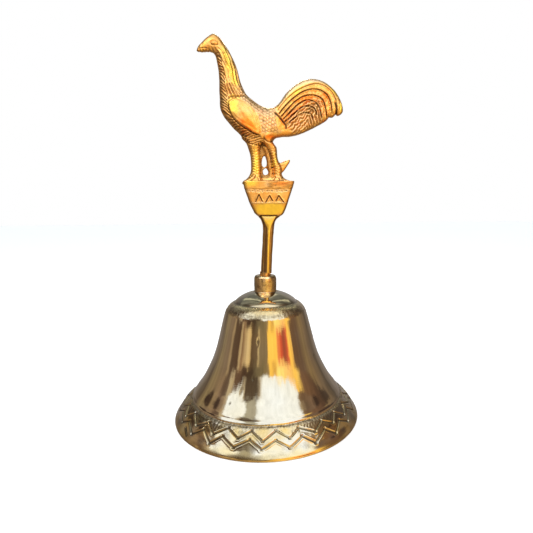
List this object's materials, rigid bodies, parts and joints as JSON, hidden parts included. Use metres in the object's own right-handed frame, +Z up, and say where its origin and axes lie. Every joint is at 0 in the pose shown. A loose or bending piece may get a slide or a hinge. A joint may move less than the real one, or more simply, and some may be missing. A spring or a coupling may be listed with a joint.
{
  "type": "hand bell",
  "caption": "Small flared brass hand bell with a rooster-shaped handle on a pedestal and stem, a turned collar, and a free-hanging ball clapper inside.",
  "frame": {"origin": "centre of the bell's lip plane, on the bell's axis, which is the bottom of the object", "axes": "+Z up along the bell's axis to the rooster's head; the rooster stands in the XZ plane and faces -X; -Y is the front"},
  "size_m": [0.076, 0.0758, 0.1503],
  "materials": {
    "bell_brass": "polished",
    "handle_brass": "satin cast",
    "collar_brass": "turned",
    "washer_brass": "satin",
    "nut_steel": "zinc plated",
    "link_steel": "drawn wire",
    "rod_brass": "satin",
    "ball_brass": "turned"
  },
  "bodies": {
    "bell": {"bell_shell": "bell_brass", "handle_casting": "handle_brass", "neck_collar": "collar_brass", "crown_washer": "washer_brass", "crown_nut": "nut_steel"},
    "link": {"hanger_link": "link_steel"},
    "clapper": {"clapper_rod": "rod_brass", "clapper_ball": "ball_brass"}
  },
  "joints": [
    {"name": "link_twist", "type": "hinge", "parent": "bell", "child": "link", "pos_m": [0, 0, 0.0418], "axis": [0, 0, 1], "range_deg": [-30, 30]},
    {"name": "clapper_swing", "type": "hinge", "parent": "link", "child": "clapper", "pos_m": [0, 0, 0.03622], "axis": [0, 1, 0], "range_deg": [-40, 40]}
  ]
}
